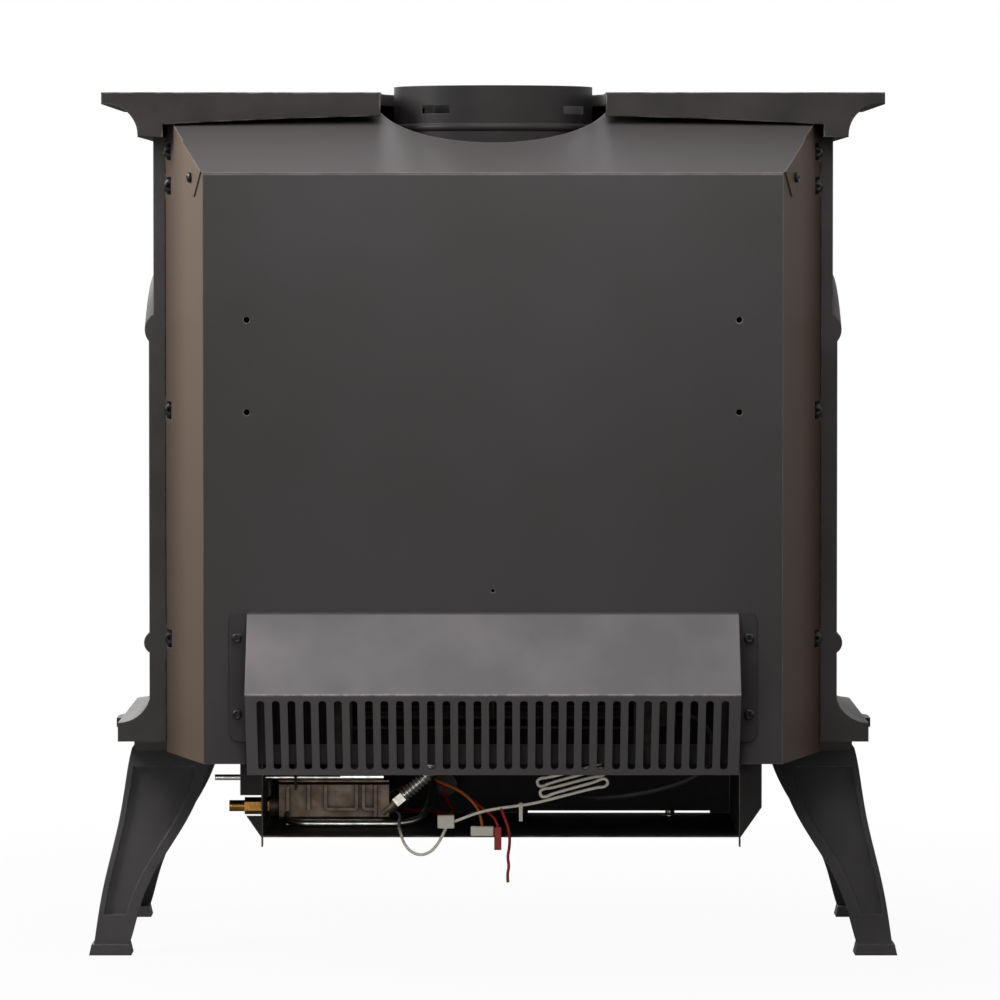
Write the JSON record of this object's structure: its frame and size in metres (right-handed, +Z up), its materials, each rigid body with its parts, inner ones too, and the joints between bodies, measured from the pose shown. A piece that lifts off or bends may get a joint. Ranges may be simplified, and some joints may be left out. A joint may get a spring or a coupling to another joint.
{
  "type": "gas stove",
  "caption": "Free-standing cast iron gas stove with a top flue collar, sheet-metal shroud, slotted blower cover and a valve tray hung under its base.",
  "frame": {"origin": "on the floor, midway between the feet left to right and between the cover's rear bend and the hearth shelf's front edge", "axes": "+Z up, +Y out of the back of the stove, +X to the left in a view from behind"},
  "size_m": [0.686, 0.553, 0.736],
  "materials": {
    "cast_black": "matt black painted cast iron",
    "sheet_black": "satin black painted sheet steel",
    "screw_black": "black oxide",
    "bare_steel": "bare rolled steel",
    "firebox_steel": "high-temperature black paint",
    "ceramic_glass": "clear ceramic glass",
    "gasket": "woven glass fibre",
    "log_ceramic": "ceramic fibre, painted as charred wood",
    "die_cast": "raw die-cast aluminium",
    "brass": "turned brass",
    "bright_aluminium": "bright drawn aluminium",
    "knob_plastic": "black moulded plastic",
    "blower_steel": "zinc-plated sheet",
    "white_wire": "off-white wire insulation",
    "white_plastic": "natural nylon",
    "orange_wire": "orange wire insulation",
    "red_plastic": "red vinyl",
    "black_wire": "black cable sheath"
  },
  "bodies": {
    "stove": {"top_casting": "cast_black", "base_casting": "cast_black", "front_casting": "cast_black", "side_casting_left": "cast_black", "side_casting_right": "cast_black", "leg_rear_left": "cast_black", "leg_rear_right": "cast_black", "leg_front_left": "cast_black", "leg_front_right": "cast_black", "grate": "cast_black", "rear_panel": "sheet_black", "shroud_top": "sheet_black", "blower_cover": "sheet_black", "outer_collar": "sheet_black", "valve_tray": "sheet_black", "glass_frame": "sheet_black", "leg_bolts": "screw_black", "casting_screws": "screw_black", "sheet_screws": "screw_black", "inner_collar": "bare_steel", "latch_pins": "bare_steel", "pilot_burner": "bare_steel", "thermopile": "bare_steel", "valve_bracket": "bare_steel", "mixing_tube": "bare_steel", "shutter_guide": "bare_steel", "burner": "bare_steel", "firebox": "firebox_steel", "firebox_roof": "firebox_steel", "glass_panel": "ceramic_glass", "glass_gasket": "gasket", "log_set": "log_ceramic", "valve_body": "die_cast", "inlet_fitting": "brass", "flex_tube": "bright_aluminium", "flex_nuts": "bright_aluminium", "pilot_tube": "bright_aluminium", "igniter_body": "knob_plastic", "blower_housing": "blower_steel", "blower_motor": "blower_steel", "valve_lead": "white_wire", "fan_lead": "white_wire", "wire_hank": "white_wire", "motor_lead": "white_wire", "lead_connector": "white_plastic", "cable_tie": "white_plastic", "flag_terminal": "white_plastic", "orange_wire": "orange_wire", "red_wire": "red_plastic", "red_tail": "red_plastic", "red_terminal": "red_plastic", "black_cable": "black_wire"},
    "gas_knob": {"gas_knob": "knob_plastic"},
    "flame_knob": {"flame_knob": "knob_plastic"},
    "igniter_button": {"igniter_button": "knob_plastic"},
    "latch_left": {"latch_left": "bare_steel"},
    "latch_right": {"latch_right": "bare_steel"},
    "shutter_rod": {"shutter_rod": "bare_steel"},
    "blower_rotor": {"blower_rotor": "blower_steel"}
  },
  "joints": [
    {"name": "rotor_spin", "type": "hinge", "parent": "stove", "child": "blower_rotor", "pos_m": [0, 0.18, 0.232], "axis": [1, 0, 0], "continuous": true},
    {"name": "gas_knob_turn", "type": "hinge", "parent": "stove", "child": "gas_knob", "pos_m": [0.155, 0.03, 0.133], "axis": [0, -1, 0], "range_deg": [0, 180]},
    {"name": "flame_knob_turn", "type": "hinge", "parent": "stove", "child": "flame_knob", "pos_m": [0.112, 0.03, 0.133], "axis": [0, -1, 0], "range_deg": [0, 180]},
    {"name": "igniter_press", "type": "slide", "parent": "stove", "child": "igniter_button", "axis": [0, 1, 0], "range_m": [0, 0.008], "stiffness_N_per_m": 1200},
    {"name": "latch_left_turn", "type": "hinge", "parent": "stove", "child": "latch_left", "pos_m": [0.221, -0.2, 0.435], "axis": [0, -1, 0], "range_deg": [0, 90]},
    {"name": "latch_right_turn", "type": "hinge", "parent": "stove", "child": "latch_right", "pos_m": [-0.221, -0.2, 0.435], "axis": [0, 1, 0], "range_deg": [0, 90]},
    {"name": "shutter_slide", "type": "slide", "parent": "stove", "child": "shutter_rod", "axis": [1, 0, 0], "range_m": [0, 0.03]}
  ]
}
